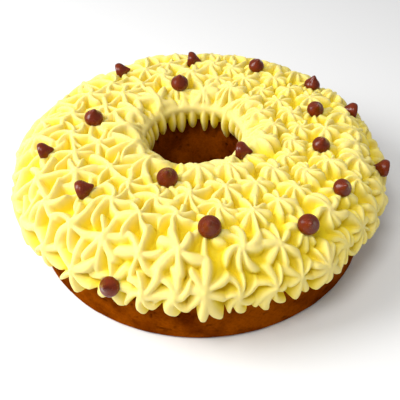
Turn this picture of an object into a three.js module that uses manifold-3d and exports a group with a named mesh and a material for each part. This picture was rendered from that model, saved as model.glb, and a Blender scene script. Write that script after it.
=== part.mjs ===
// Passion fruit ring cake: a baked ring, a coat of cream piped in stars, and chocolate drops on the cream.
// Millimetres, +Z up. The origin is under the middle of the ring, where it stands, and the front is -Y.
// A bearing runs from the front round to the right, seen from above.
import * as THREE from "three";
import { mergeVertices } from "three/addons/utils/BufferGeometryUtils.js";
import Module from "manifold-3d";

// Baked ring
const CAKE_RADIUS = 108;
const FOOT_RADIUS = 107;
const FOOT_ROUND = 3;
const CAKE_HEIGHT = 59;
const SHOULDER_RADIUS = 24;
const HOLE_RADIUS = 38;
const HOLE_FOOT_RADIUS = 35;
const HOLE_SHOULDER_RADIUS = 10;
const HOLE_SHIFT_X = -3.5;
const HOLE_SHIFT_Y = 4;
const RING_SEGMENTS = 52;
const SHOULDER_STEPS = 5;
const HOLE_SHOULDER_STEPS = 3;

// Cream piped in stars, which stand closer on the right than on the left by a share of the even spacing
const FIRST_ROW = 10;
const LAST_ROW = 75;
const ROWS = 5;
const ROW_WANDER = 2.5;
const STAR_SPACING = 18;
const STAR_CROWDING = 0.18;
const SETTLE_SPACING = 19.5;
const SETTLE_PASSES = 30;
const SETTLE_PUSH = 0.15;
const STAR_RADIUS = 14.5;
const STAR_HEIGHT = 10.5;
const HOLE_ROW_SHARE = 0.85;
const HOLE_ROW_RISE = 1.2;
const SEAT_HEIGHT = 8.5;
const CREST_FALL = 0.6;
const VALLEY_FALL = 1.7;
const VALLEY_FLOOR = 0.1;
const RIDGE_SLIMNESS = 0.6;
const STAR_TWIST = THREE.MathUtils.degToRad(24);
const STAR_CLING = 0.3;
const CREST_STOPS = [0.3, 0.65, 1];
const VALLEY_STOPS = [0.3, 0.6];
const KNIT_APART = 1.9;
const KNIT_FRAME = 20;

// A full lip round the hole and the petals that hang from it: paths, and heights off the skin, which fall to the
// tip with a power of the way. The lip is fuller at the front than at the back, and the petals on the left stand
// further off at their tips than those on the right. Each gap between two petals has stops down it and shares of
// their height.
const PETALS = 28;
const PETAL_ROOT = 78;
const PETAL_TIP = 96;
const PETAL_RISE = 11.5;
const PETAL_TIP_RISE = 4.5;
const PETAL_FALL = 3;
const PETAL_FRONT = 1.8;
const PETAL_LEAN = 2;
const PETAL_STOPS = [0, 0.35, 0.7, 1];
const PETAL_GAPS = [
  [0.1, 0.97],
  [0.35, 0.92],
  [0.7, 0.4],
];

// How uneven the piping is, as shares of the even value, and the fewest and most ridges of a star.
const STEP_UNEVEN = 0.2;
const RADIUS_UNEVEN = 0.1;
const HEIGHT_UNEVEN = 0.12;
const TWIST_UNEVEN = 1.2;
const RIDGE_UNEVEN = 0.12;
const PETAL_UNEVEN = 0.15;
const FEWEST_RIDGES = 6;
const MOST_RIDGES = 8;

// Where the cream ends: the paths of its lower edge and of its edge in the hole, and its depth there.
const LOWER_EDGE = 3;
const HOLE_EDGE = 86;
const EDGE_DEPTH = 3;
const ROOT_DEPTH = 7;
const EDGE_SPACING = 9;
const EDGE_UNEVEN = 0.1;
const EDGE_WANDER = 0.2;
const OUTERMOST_PATH = -10;
const INNERMOST_PATH = 108;
const GAP = 0.3;

// Chocolate drops
const DROP_RADIUS = 6;
const DROP_HEIGHT = 10.5;
const DROP_BELLY = 2.6;
const DROP_BASE_SHARE = 0.8;
const DROP_POINT = 1.25;
const DROP_SEGMENTS = 10;
const DROP_STEPS = 4;
const DROP_MIDDLE = 3.5;

// Each drop: bearing, distance over the shoulder and across the top, tilt off the vertical, tip's bearing, how
// high its middle is off the cake's skin, and its size against the even drop.
const DROP_PLACES = [
  [-79, 30.5, 80, 100, 9.5, 0.86],
  [-48.5, 37, 75, 100, 9.5, 0.95],
  [-99, 57, 15, 35, 11.5, 1],
  [-143.5, 34, 82, 97, 9, 0.95],
  [-168.5, 73, 18, 0, 12, 0.98],
  [-178, 36, 98, 85, 8, 0.95],
  [150, 37.5, 22, 20, 10.5, 0.9],
  [124, 30, 8, 90, 9, 0.9],
  [103.5, 43.5, 35, 5, 9.5, 0.89],
  [107, 20, 82, -95, 8, 0.95],
  [75.5, 45, 22, 20, 9.5, 0.9],
  [51, 79.5, 88, 75, 10.5, 0.93],
  [-17.5, 69.5, 25, 0, 10.5, 1.02],
  [55.5, 28, 40, 20, 9.5, 0.88],
  [78.5, 13.5, 85, -100, 10.5, 0.9],
  [34.5, 25.5, 42, 0, 10.5, 0.97],
  [3.5, 34.5, 36, -5, 11, 1.04],
  [-24.5, 7.5, 50, -22, 10, 0.92],
  [-153, 5, 75, -170, 9, 0.95],
  [147, 5, 80, -160, 9, 0.95],
];

// Steps of the wave that stands in for chance, and a salt for each thing that is left to it.
const COUNT_STEP = 12.9898;
const SALT_STEP = 78.233;
const WAVE_REACH = 43758.5453;
const SALT = {
  step: 1,
  path: 2,
  ridges: 3,
  radius: 4,
  height: 5,
  twist: 6,
  facing: 7,
  ridge: 8,
  edgeStep: 9,
  edgePath: 10,
  petalStep: 11,
  petalLength: 12,
};

const shoulderArc = (SHOULDER_RADIUS * Math.PI) / 2;
const holeArc = (HOLE_SHOULDER_RADIUS * Math.PI) / 2;
const topStart = CAKE_RADIUS - SHOULDER_RADIUS;
const topEnd = HOLE_RADIUS + HOLE_SHOULDER_RADIUS;
const holeStart = shoulderArc + topStart - topEnd;

const wasm = await Module();
wasm.setup();

// A number from 0 to 1 that looks like chance but is the same each time.
function chance(count, salt) {
  const wave = Math.sin(count * COUNT_STEP + salt * SALT_STEP) * WAVE_REACH;
  return wave - Math.floor(wave);
}

// A chance number from -reach to reach.
function swing(count, salt, reach) {
  return (2 * chance(count, salt) - 1) * reach;
}

// The baked ring's skin after a walk up the outer shoulder, across the top and down into the hole.
// Returns the radius, the height and the outward normal there.
function skinAt(path) {
  if (path < 0) {
    return { r: CAKE_RADIUS, z: CAKE_HEIGHT - SHOULDER_RADIUS + path, nr: 1, nz: 0 };
  }
  if (path < shoulderArc) {
    const turn = path / SHOULDER_RADIUS;
    const nr = Math.cos(turn);
    const nz = Math.sin(turn);
    return {
      r: topStart + SHOULDER_RADIUS * nr,
      z: CAKE_HEIGHT - SHOULDER_RADIUS + SHOULDER_RADIUS * nz,
      nr,
      nz,
    };
  }
  if (path < holeStart) {
    return { r: topStart - (path - shoulderArc), z: CAKE_HEIGHT, nr: 0, nz: 1 };
  }
  const turn = Math.min((path - holeStart) / HOLE_SHOULDER_RADIUS, Math.PI / 2);
  const drop = Math.max(0, path - holeStart - holeArc);
  return {
    r: topEnd - HOLE_SHOULDER_RADIUS * Math.sin(turn),
    z: CAKE_HEIGHT - HOLE_SHOULDER_RADIUS * (1 - Math.cos(turn)) - drop,
    nr: -Math.sin(turn),
    nz: Math.cos(turn),
  };
}

// The hole is a little off centre: the middle of each circle of the ring slides towards the hole's middle.
function middleOf(radius) {
  const share = (CAKE_RADIUS - radius) / (CAKE_RADIUS - HOLE_RADIUS);
  return new THREE.Vector2(HOLE_SHIFT_X, HOLE_SHIFT_Y).multiplyScalar(THREE.MathUtils.clamp(share, 0, 1));
}

// A point at a bearing in radians, a path over the skin and a height off the skin.
function onSkin(bearing, path, height) {
  const skin = skinAt(path);
  const radius = skin.r + height * skin.nr;
  const middle = middleOf(skin.r);
  return new THREE.Vector3(
    middle.x + radius * Math.sin(bearing),
    middle.y - radius * Math.cos(bearing),
    skin.z + height * skin.nz,
  );
}

// A closed geometry as a solid for joins and cuts.
function solidOf(geometry) {
  const vertProperties = geometry.getAttribute("position").array;
  const triVerts = new Uint32Array(geometry.index.array);
  return new wasm.Manifold(new wasm.Mesh({ numProp: 3, vertProperties, triVerts }));
}

// A solid back as a geometry, its largest body alone, so that loose scraps and sealed hollows go.
function geometryOf(solid) {
  const bodies = solid.decompose();
  const largest = bodies.reduce((best, body) => (body.volume() > best.volume() ? body : best));
  const { numProp, vertProperties, triVerts } = largest.getMesh();
  const geometry = new THREE.BufferGeometry();
  const positions = new THREE.BufferAttribute(vertProperties, numProp);
  geometry.setAttribute("position", positions);
  geometry.setIndex(new THREE.BufferAttribute(triVerts, 1));
  geometry.computeVertexNormals();
  return geometry;
}

// A profile of [radius, height] points turned about +Z into one closed skin, its seam and poles merged.
function turned(profile, segments) {
  const points = profile.map(([radius, height]) => new THREE.Vector2(radius, height));
  const lathe = new THREE.LatheGeometry(points, segments).rotateX(Math.PI / 2);
  lathe.deleteAttribute("normal");
  lathe.deleteAttribute("uv");
  const merged = mergeVertices(lathe);
  const corners = merged.index.array;
  const kept = [];
  for (let i = 0; i < corners.length; i += 3) {
    const triangle = corners.slice(i, i + 3);
    if (new Set(triangle).size === 3) {
      kept.push(...triangle);
    }
  }
  return merged.setIndex(kept);
}

// The middle of each circle slides to follow the off-centre hole.
function slideToHole(geometry) {
  const position = geometry.getAttribute("position");
  for (let i = 0; i < position.count; i += 1) {
    const x = position.getX(i);
    const y = position.getY(i);
    const middle = middleOf(Math.hypot(x, y));
    position.setXY(i, x + middle.x, y + middle.y);
  }
  return geometry;
}

// The walk over the skin, as path values: round the shoulder, across the top and round the hole's edge.
function skinWalk(from, to) {
  const stops = [];
  for (let i = 0; i <= SHOULDER_STEPS; i += 1) {
    stops.push((shoulderArc * i) / SHOULDER_STEPS);
  }
  for (let i = 0; i <= HOLE_SHOULDER_STEPS; i += 1) {
    stops.push(holeStart + (holeArc * i) / HOLE_SHOULDER_STEPS);
  }
  return [from, ...stops.filter((stop) => stop > from && stop < to), to];
}

// Skin points at a height off it, as [radius, height].
function skinProfile(from, to, height) {
  return skinWalk(from, to).map((path) => {
    const skin = skinAt(path);
    return [skin.r + height * skin.nr, skin.z + height * skin.nz];
  });
}

// The baked ring, or the same ring swollen by a gap for cutting its neighbour.
function ringGeometry(swell) {
  const profile = [
    [FOOT_RADIUS - FOOT_ROUND, -swell],
    [FOOT_RADIUS + swell, FOOT_ROUND],
    ...skinProfile(0, holeStart + holeArc, swell),
    [HOLE_FOOT_RADIUS - swell, FOOT_ROUND],
    [HOLE_FOOT_RADIUS + FOOT_ROUND, -swell],
  ];
  profile.push(profile[0]);
  return slideToHole(turned(profile, RING_SEGMENTS));
}

// The skin rolled out flat: a point of the plane for a bearing and a path, true to size on the cake's top.
function flatPoint(bearing, path) {
  const radius = topStart + shoulderArc - path;
  return new THREE.Vector2(radius * Math.sin(bearing), -radius * Math.cos(bearing));
}

// Every star: rows over the skin, each star a little off its row's even spacing and of its own size and turn,
// with more ridges on the right than on the left.
function pipedStars() {
  const stars = [];
  for (let row = 0; row < ROWS; row += 1) {
    const rowPath = FIRST_ROW + ((LAST_ROW - FIRST_ROW) * row) / (ROWS - 1);
    const skin = skinAt(rowPath);
    const girth = 2 * Math.PI * (skin.r + (STAR_HEIGHT / 2) * skin.nr);
    const inRow = Math.round(girth / STAR_SPACING);
    const atHole = row === ROWS - 1;
    const rowRadius = STAR_RADIUS * (atHole ? HOLE_ROW_SHARE : 1);
    const rowHeight = STAR_HEIGHT * (atHole ? HOLE_ROW_RISE : 1);
    for (let i = 0; i < inRow; i += 1) {
      const number = stars.length;
      const step = i + (row % 2) / 2 + swing(number, SALT.step, STEP_UNEVEN);
      const even = (step / inRow) * 2 * Math.PI;
      const choices = MOST_RIDGES - FEWEST_RIDGES + Math.sin(even);
      stars.push({
        number,
        bearing: even + STAR_CROWDING * Math.cos(even),
        path: rowPath + swing(number, SALT.path, ROW_WANDER),
        ridges: FEWEST_RIDGES + Math.floor(chance(number, SALT.ridges) * choices),
        radius: rowRadius * (1 + swing(number, SALT.radius, RADIUS_UNEVEN)),
        height: rowHeight * (1 + swing(number, SALT.height, HEIGHT_UNEVEN)),
        twist: STAR_TWIST * (1 + swing(number, SALT.twist, TWIST_UNEVEN)),
        facing: chance(number, SALT.facing) * 2 * Math.PI,
      });
    }
  }
  return stars;
}

// The star nearest to each drop moves right under it, is pressed down and stays there.
function seatDrops(stars, drops) {
  for (const star of stars) {
    star.middle = flatPoint(star.bearing, star.path);
    star.seated = false;
  }
  for (const drop of drops) {
    const spot = flatPoint(drop.bearing, drop.path);
    const away = (star) => star.middle.distanceTo(spot);
    const nearest = stars.reduce((best, star) => (away(star) < away(best) ? star : best));
    nearest.middle = spot;
    nearest.seated = true;
    nearest.height = SEAT_HEIGHT;
  }
}

// The other stars push apart for a few passes, each from all that are nearer than the room it needs there.
function settleStars(stars) {
  const least = topStart + shoulderArc - LAST_ROW - ROW_WANDER;
  const most = topStart + shoulderArc - FIRST_ROW + ROW_WANDER;
  for (let pass = 0; pass < SETTLE_PASSES; pass += 1) {
    const moved = stars.map((star) => {
      const push = new THREE.Vector2();
      const room = SETTLE_SPACING * (1 - (STAR_CROWDING * star.middle.x) / star.middle.length());
      for (const other of stars) {
        const away = star.middle.clone().sub(other.middle);
        const near = room - away.length();
        if (other !== star && near > 0) {
          push.addScaledVector(away.normalize(), near * SETTLE_PUSH);
        }
      }
      return star.seated ? star.middle : star.middle.clone().add(push).clampLength(least, most);
    });
    stars.forEach((star, i) => {
      star.middle = moved[i];
    });
  }
  for (const star of stars) {
    star.bearing = Math.atan2(star.middle.x, -star.middle.y);
    star.path = topStart + shoulderArc - star.middle.length();
  }
}

// How long one ridge of a star is, against the star's radius.
function ridgeStretch(star, ridge) {
  return 1 + swing(star.number * MOST_RIDGES + ridge, SALT.ridge, RIDGE_UNEVEN);
}

// A star's height over the skin at a share of its radius: a crest is a dome, a valley a steep funnel.
function crestRise(star, share) {
  return star.height * (1 - CREST_FALL * share * share);
}

function valleyRise(star, share) {
  return star.height * Math.max(VALLEY_FLOOR, 1 - VALLEY_FALL * share);
}

// A star's height over the skin at a point of the plane, between the crest and the valley on either side.
function starRise(star, point) {
  const offset = point.clone().sub(star.middle);
  const share = offset.length() / star.radius;
  const turn = offset.angle() - star.facing - star.twist * share;
  const place = (turn / (2 * Math.PI)) * star.ridges;
  const ridge = ((Math.round(place) % star.ridges) + star.ridges) % star.ridges;
  const stretched = share / ridgeStretch(star, ridge);
  if (stretched > 1) {
    return -Infinity;
  }
  const toValley = (2 * Math.abs(place - Math.round(place))) ** RIDGE_SLIMNESS;
  return THREE.MathUtils.lerp(crestRise(star, stretched), valleyRise(star, share), toValley);
}

// The points that draw one star: its middle, and stops along its crests and valleys.
function starPoints(star) {
  const points = [{ flat: star.middle.clone(), rise: star.height }];
  const place = (share, half, rise) => {
    const turn = star.facing + (Math.PI * half) / star.ridges + star.twist * share;
    const offset = new THREE.Vector2(share * star.radius, 0).rotateAround(new THREE.Vector2(), turn);
    points.push({ flat: offset.add(star.middle), rise });
  };
  for (let ridge = 0; ridge < star.ridges; ridge += 1) {
    for (const stop of CREST_STOPS) {
      place(stop * ridgeStretch(star, ridge), 2 * ridge, crestRise(star, stop));
    }
    for (const stop of VALLEY_STOPS) {
      place(stop, 2 * ridge + 1, valleyRise(star, stop));
    }
  }
  return points.map(({ flat, rise }) => ({ flat, rise, star, top: laidOver(star, flat, rise) }));
}

// A point of a star in space: part flat in the star's own plane, part following the skin's curve.
function laidOver(star, flat, rise) {
  const skin = skinAt(star.path);
  const offset = flat.clone().sub(star.middle).rotateAround(new THREE.Vector2(), -star.bearing);
  const { x: across, y: along } = offset;
  const up = new THREE.Vector3(-skin.nz * Math.sin(star.bearing), skin.nz * Math.cos(star.bearing), skin.nr);
  const side = new THREE.Vector3(Math.cos(star.bearing), Math.sin(star.bearing), 0);
  const level = onSkin(star.bearing, star.path, rise);
  level.addScaledVector(up, along).addScaledVector(side, across);
  const bent = onSkin(star.bearing + across / skin.r, star.path + along, rise);
  return level.lerp(bent, STAR_CLING);
}

// The points that draw the petals in the hole: stops down the crest of each and down the gap beside it.
function petalPoints() {
  const points = [];
  const place = (step, stop, length, share) => {
    const bearing = (step / PETALS) * 2 * Math.PI;
    const path = PETAL_ROOT + (PETAL_TIP - PETAL_ROOT) * stop * length;
    const rootRise = PETAL_RISE + PETAL_FRONT * Math.cos(bearing);
    const tipRise = PETAL_TIP_RISE - PETAL_LEAN * Math.sin(bearing);
    const rise = share * THREE.MathUtils.lerp(rootRise, tipRise, stop ** PETAL_FALL);
    points.push({ flat: flatPoint(bearing, path), rise, top: onSkin(bearing, path, rise) });
  };
  for (let petal = 0; petal < PETALS; petal += 1) {
    const step = petal + swing(petal, SALT.petalStep, PETAL_UNEVEN);
    const length = 1 + swing(petal, SALT.petalLength, PETAL_UNEVEN);
    for (const stop of PETAL_STOPS) {
      place(step, stop, length, 1);
    }
    for (const [stop, share] of PETAL_GAPS) {
      place(petal + 1 / 2, stop, 1, share);
    }
  }
  return points;
}

// The points that draw the cream: each star's own where no other star stands higher, as far as the petals
// in the hole, then those of the petals, and none too close.
function creamPoints(stars) {
  const kept = [];
  const petalEdge = topStart + shoulderArc - PETAL_ROOT;
  const onTop = stars.flatMap(starPoints).filter(({ flat }) => flat.length() > petalEdge);
  for (const point of [...onTop, ...petalPoints()]) {
    const covered = stars.some((star) => star !== point.star && starRise(star, point.flat) > point.rise);
    const crowded = kept.some((other) => other.flat.distanceTo(point.flat) < KNIT_APART);
    if (!covered && !crowded) {
      kept.push({ flat: point.flat, top: point.top });
    }
  }
  return kept;
}

// A ring of points along an edge of the cream, drawn in the plane past the petals and set into the cake.
function edgePoints(flatPath, path) {
  const count = Math.round((2 * Math.PI * (topStart + shoulderArc - flatPath)) / EDGE_SPACING);
  return Array.from({ length: count }, (_, i) => {
    const bearing = ((i + swing(i, SALT.edgeStep, EDGE_UNEVEN)) / count) * 2 * Math.PI;
    const flat = flatPoint(bearing, flatPath + swing(i, SALT.edgePath, EDGE_WANDER));
    return { flat, top: onSkin(bearing, path, -EDGE_DEPTH) };
  });
}

// A triangle of the plane with the circle through its corners.
function circled(points, corners) {
  const [a, b, c] = corners.map((corner) => points[corner]);
  const ab = b.clone().sub(a);
  const ac = c.clone().sub(a);
  const double = 2 * ab.cross(ac);
  const x = (ac.y * ab.lengthSq() - ab.y * ac.lengthSq()) / double;
  const y = (ab.x * ac.lengthSq() - ac.x * ab.lengthSq()) / double;
  return { corners, middle: new THREE.Vector2(a.x + x, a.y + y), reach: x * x + y * y };
}

// Knits points of the plane into triangles: each new point opens the triangles whose circle holds it,
// and joins the edges of that opening.
function knit(points) {
  const far = KNIT_FRAME * CAKE_RADIUS;
  const frame = [new THREE.Vector2(-far, -far), new THREE.Vector2(far, -far), new THREE.Vector2(0, far)];
  const all = [...points, ...frame];
  let triangles = [circled(all, [points.length, points.length + 1, points.length + 2])];
  points.forEach((point, index) => {
    const rim = new Map();
    triangles = triangles.filter(({ corners, middle, reach }) => {
      if (middle.distanceToSquared(point) >= reach) {
        return true;
      }
      corners.forEach((corner, i) => {
        const next = corners[(i + 1) % 3];
        if (!rim.delete(`${next} ${corner}`)) {
          rim.set(`${corner} ${next}`, [corner, next]);
        }
      });
      return false;
    });
    for (const [from, to] of rim.values()) {
      triangles.push(circled(all, [from, to, index]));
    }
  });
  return triangles.map(({ corners }) => corners).filter((corners) => Math.max(...corners) < points.length);
}

// A sheet over the stars with a plain sheet deep in the cake under it, sewn together along their edges.
function creamSolid(stars) {
  const drawn = creamPoints(stars);
  const holeRing = edgePoints(INNERMOST_PATH, HOLE_EDGE);
  const points = [...edgePoints(OUTERMOST_PATH, LOWER_EDGE), ...drawn, ...holeRing];
  const firstInHole = points.length - holeRing.length;
  const sheet = knit(points.map(({ flat }) => flat)).filter((corners) => Math.min(...corners) < firstInHole);
  const roots = points.map(({ flat }) => {
    const path = topStart + shoulderArc - flat.length();
    const share = (path - OUTERMOST_PATH) / (INNERMOST_PATH - OUTERMOST_PATH);
    const bearing = Math.atan2(flat.x, -flat.y);
    return onSkin(bearing, THREE.MathUtils.lerp(LOWER_EDGE, HOLE_EDGE, share), -ROOT_DEPTH);
  });
  const indices = [];
  const open = new Map();
  for (const corners of sheet) {
    indices.push(...corners, ...corners.map((corner) => corner + points.length).reverse());
    corners.forEach((corner, i) => {
      const next = corners[(i + 1) % 3];
      if (!open.delete(`${next} ${corner}`)) {
        open.set(`${corner} ${next}`, [corner, next]);
      }
    });
  }
  for (const [from, to] of open.values()) {
    indices.push(from, from + points.length, to, to, from + points.length, to + points.length);
  }
  const geometry = new THREE.BufferGeometry().setFromPoints([...points.map(({ top }) => top), ...roots]);
  return solidOf(geometry.setIndex(indices));
}

// A chocolate drop of a size with its flat base at Z 0, or the same drop swollen by a gap: a rounded edge up to
// the belly, then a side that follows a power of the cosine up to a small point.
function dropGeometry(size, swell) {
  const profile = [
    [0, -swell],
    [size * DROP_RADIUS * DROP_BASE_SHARE + swell, -swell],
  ];
  for (let i = 0; i < DROP_STEPS; i += 1) {
    const share = i / DROP_STEPS;
    const radius = DROP_RADIUS * Math.cos((share * Math.PI) / 2) ** DROP_POINT;
    profile.push([size * radius + swell, size * (DROP_BELLY + (DROP_HEIGHT - DROP_BELLY) * share)]);
  }
  profile.push([0, size * DROP_HEIGHT + swell]);
  return turned(profile, DROP_SEGMENTS);
}

const CREAM = new THREE.MeshStandardMaterial({ color: 0xfdeb8f, roughness: 0.55, metalness: 0 });
const CRUST = new THREE.MeshStandardMaterial({ color: 0xa65316, roughness: 0.7, metalness: 0 });
const CHOCOLATE = new THREE.MeshStandardMaterial({ color: 0x6e3418, roughness: 0.35, metalness: 0 });

// Where every drop lies: its place on the skin, its size and the turn that tips it over.
function dropPlaces() {
  return DROP_PLACES.map(([bearingDeg, path, tiltDeg, tipDeg, lift, size]) => {
    const bearing = THREE.MathUtils.degToRad(bearingDeg);
    const tilt = THREE.MathUtils.degToRad(tiltDeg);
    const tip = THREE.MathUtils.degToRad(tipDeg);
    const axis = new THREE.Vector3(0, 0, 1);
    axis.applyAxisAngle(new THREE.Vector3(Math.cos(tip), Math.sin(tip), 0), tilt);
    const quaternion = new THREE.Quaternion().setFromUnitVectors(new THREE.Vector3(0, 0, 1), axis);
    const position = onSkin(bearing, path, lift).addScaledVector(axis, -size * DROP_MIDDLE);
    return { bearing, path, size, position, quaternion };
  });
}

function cakeMesh() {
  const mesh = new THREE.Mesh(ringGeometry(0), CRUST);
  mesh.name = "cake";
  return mesh;
}

// The cream, cut back to the ring and hollowed where the drops sit.
function frostingMesh(stars, drops) {
  const sockets = drops.map((drop) => {
    const matrix = new THREE.Matrix4().compose(drop.position, drop.quaternion, new THREE.Vector3(1, 1, 1));
    return solidOf(dropGeometry(drop.size, GAP).applyMatrix4(matrix));
  });
  const cutters = wasm.Manifold.union([solidOf(ringGeometry(GAP)), ...sockets]);
  const mesh = new THREE.Mesh(geometryOf(creamSolid(stars).subtract(cutters)), CREAM);
  mesh.name = "frosting";
  return mesh;
}

function dropMeshes(drops) {
  return drops.map((drop, index) => {
    const mesh = new THREE.Mesh(dropGeometry(drop.size, 0), CHOCOLATE);
    mesh.name = `chocolate_drop_${String(index + 1).padStart(2, "0")}`;
    mesh.position.copy(drop.position);
    mesh.quaternion.copy(drop.quaternion);
    return mesh;
  });
}

const drops = dropPlaces();
const stars = pipedStars();
seatDrops(stars, drops);
settleStars(stars);

const cake = new THREE.Group();
cake.add(cakeMesh());
cake.add(frostingMesh(stars, drops));
cake.add(...dropMeshes(drops));

export default cake;
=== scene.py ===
"""Passion fruit ring cake: a baked ring, a coat of cream piped in stars, and chocolate drops on the cream.

Sizes are in millimetres, as in the part's source, and meshes are in metres. The front is -Y and up is +Z.
A bearing runs from the front round to the right, seen from above. A path is a walk over the baked
ring's skin: up the outer shoulder, across the top and down into the hole.
"""

import logging
import math
from dataclasses import astuple, dataclass, field
from enum import Enum, IntEnum

import bpy
import numpy as np
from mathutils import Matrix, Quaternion, Vector


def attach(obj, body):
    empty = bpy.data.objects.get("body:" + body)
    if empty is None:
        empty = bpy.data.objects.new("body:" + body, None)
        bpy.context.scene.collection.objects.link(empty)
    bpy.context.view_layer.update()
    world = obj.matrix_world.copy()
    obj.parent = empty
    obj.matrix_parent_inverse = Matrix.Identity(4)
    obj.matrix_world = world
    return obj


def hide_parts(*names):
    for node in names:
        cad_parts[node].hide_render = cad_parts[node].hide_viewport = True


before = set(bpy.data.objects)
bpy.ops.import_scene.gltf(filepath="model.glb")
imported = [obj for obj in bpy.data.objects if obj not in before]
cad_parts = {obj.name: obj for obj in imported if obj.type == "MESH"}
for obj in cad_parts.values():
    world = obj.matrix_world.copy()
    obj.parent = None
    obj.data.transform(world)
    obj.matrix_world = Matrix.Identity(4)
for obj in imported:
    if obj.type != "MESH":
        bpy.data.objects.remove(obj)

log = logging.getLogger("ring_cake")

MM = 0.001
TINY = 1e-6
CIRCLE = 2 * math.pi
QUARTER = math.pi / 2
BODY = "root"

STEEPNESS = 43758.5453
COUNT_PHASE = 12.9898
SALT_PHASE = 78.233
CELL_PHASE = np.array([127.1, 311.7, 74.7])
SEED_PHASE = 53.3

Array = np.ndarray
Colour = tuple[float, float, float]
Place = tuple[float, float, float]
Faces = list[list[int]]
Material = bpy.types.Material
Mesh = bpy.types.Mesh
Piece = bpy.types.Object
Socket = bpy.types.NodeSocket
Feed = Socket | float | tuple[float, ...]


class Slot(Enum):
    """Material slots of the record."""

    CRUST = "crust"
    CREAM = "cream"
    CHOCOLATE = "chocolate"


class Join(Enum):
    """How solids are put together."""

    FUSE = "UNION"
    CUT = "DIFFERENCE"


class Salt(IntEnum):
    """One salt for each thing that is left to chance, so that the draws are independent."""

    STEP = 1
    PATH = 2
    RIDGES = 3
    RADIUS = 4
    HEIGHT = 5
    TWIST = 6
    FACING = 7
    RIDGE = 8
    PETAL_STEP = 11
    PETAL_LENGTH = 12
    RIDGE_HEIGHT = 13
    RIDGE_TURN = 14
    PETAL_WIDTH = 17
    DROP_LEAN = 18
    DROP_TURN = 19
    RIDGE_WIDTH = 20


class Pattern(IntEnum):
    """One seed for each pattern of smooth noise."""

    CRUST_BROAD = 1
    CRUST_NARROW = 2
    CRUST_PITS = 3
    LIP = 5
    PULL_X = 11
    PULL_Y = 12
    PULL_Z = 13
    BEND_X = 21
    BEND_Y = 22


def steep_wave(phase: Array) -> Array:
    """The fraction of a steep sine wave, which looks like chance but is the same each time."""
    wave = np.sin(phase) * STEEPNESS
    return wave - np.floor(wave)


def chance(count: Array, salt: int) -> Array:
    """A number from 0 to 1 for each count, by a steep wave."""
    return steep_wave(np.asarray(count) * COUNT_PHASE + salt * SALT_PHASE)


def swing(count: Array, salt: int, reach: float) -> Array:
    """A chance number from -reach to reach for each count."""
    return (2 * chance(count, salt) - 1) * reach


def soft_noise(points: Array, grain: float, seed: int) -> Array:
    """Smooth noise: chance values at the corners of each cell, blended by smooth steps between the corners.

    Args:
        points: Points in millimetres, in the last axis.
        grain: The size of a cell in millimetres.
        seed: Which pattern it is.

    Returns:
        Numbers from -1 to 1.
    """
    scaled = points / grain
    cell = np.floor(scaled)
    share = scaled - cell
    share = share * share * (3 - 2 * share)
    total = np.zeros(points.shape[:-1])
    for corner in np.ndindex(2, 2, 2):
        weight = np.where(np.array(corner), share, 1 - share).prod(axis=-1)
        total += weight * steep_wave((cell + np.array(corner)) @ CELL_PHASE + seed * SEED_PHASE)
    return 2 * total - 1


def wavering(points: Array, grain: float, *seeds: int) -> Array:
    """Smooth noise in as many directions as there are seeds, in the last axis."""
    return np.stack([soft_noise(points, grain, seed) for seed in seeds], axis=-1)


def around(count: int) -> Array:
    """Even angles once round a circle."""
    return np.arange(count) / count * CIRCLE


def tube_faces(rows: int, columns: int) -> Array:
    """Quads between rows of points, each row closed in a ring. Rows run upwards and columns to the right.

    Args:
        rows: How many rows.
        columns: How many points in a row.

    Returns:
        Four corners for each quad.
    """
    row, column = np.meshgrid(np.arange(rows - 1), np.arange(columns), indexing="ij")
    beside = (column + 1) % columns
    low, high = row * columns, (row + 1) * columns
    return np.stack([low + column, low + beside, high + beside, high + column], axis=-1).reshape(-1, 4)


def capped_faces(rows: int, columns: int) -> Faces:
    """Faces of a tube closed by a point under its first row and one over its last, which follow the rows.

    Args:
        rows: How many rows.
        columns: How many points in a row.

    Returns:
        The corners of each face.
    """
    column = np.arange(columns)
    beside = (column + 1) % columns
    under, over, last = rows * columns, rows * columns + 1, (rows - 1) * columns
    bottom = np.stack([np.full(columns, under), beside, column], axis=-1)
    top = np.stack([np.full(columns, over), last + column, last + beside], axis=-1)
    return tube_faces(rows, columns).tolist() + bottom.tolist() + top.tolist()


def ring_faces(rows: int, columns: int) -> Faces:
    """Faces of a tube whose last row joins its first, as on a ring."""
    return (tube_faces(rows + 1, columns) % (rows * columns)).tolist()


def solid(name: str, points: Array, faces: Faces, stored: dict[str, Array] | None = None) -> Piece:
    """A mesh object at the origin from points in millimetres.

    Args:
        name: The object's name.
        points: Points, in the last axis.
        faces: The corners of each face.
        stored: Numbers to store at the points, by name.

    Returns:
        The object, in no collection yet.
    """
    mesh = bpy.data.meshes.new(name)
    mesh.from_pydata((points * MM).reshape(-1, 3).tolist(), [], faces)
    mesh.update()
    for label, values in (stored or {}).items():
        put_values(mesh, label, values)
    return bpy.data.objects.new(name, mesh)


def put_values(mesh: Mesh, name: str, values: Array) -> None:
    """Stores one number at each point of a mesh, for its material to read."""
    stored = mesh.attributes.get(name) or mesh.attributes.new(name, "FLOAT", "POINT")
    stored.data.foreach_set("value", values.ravel().astype(np.float32))


def read(rows: bpy.types.bpy_prop_collection, name: str, width: int, kind: type) -> Array:
    """Reads what the points or the edges of a mesh hold.

    Args:
        rows: The points, the edges or the numbers stored at them.
        name: What is read of each.
        width: How many numbers each has.
        kind: The numbers' type.

    Returns:
        One row of numbers for each.
    """
    values = np.zeros(len(rows) * width, kind)
    rows.foreach_get(name, values)
    return values.reshape(-1, width)


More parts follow.
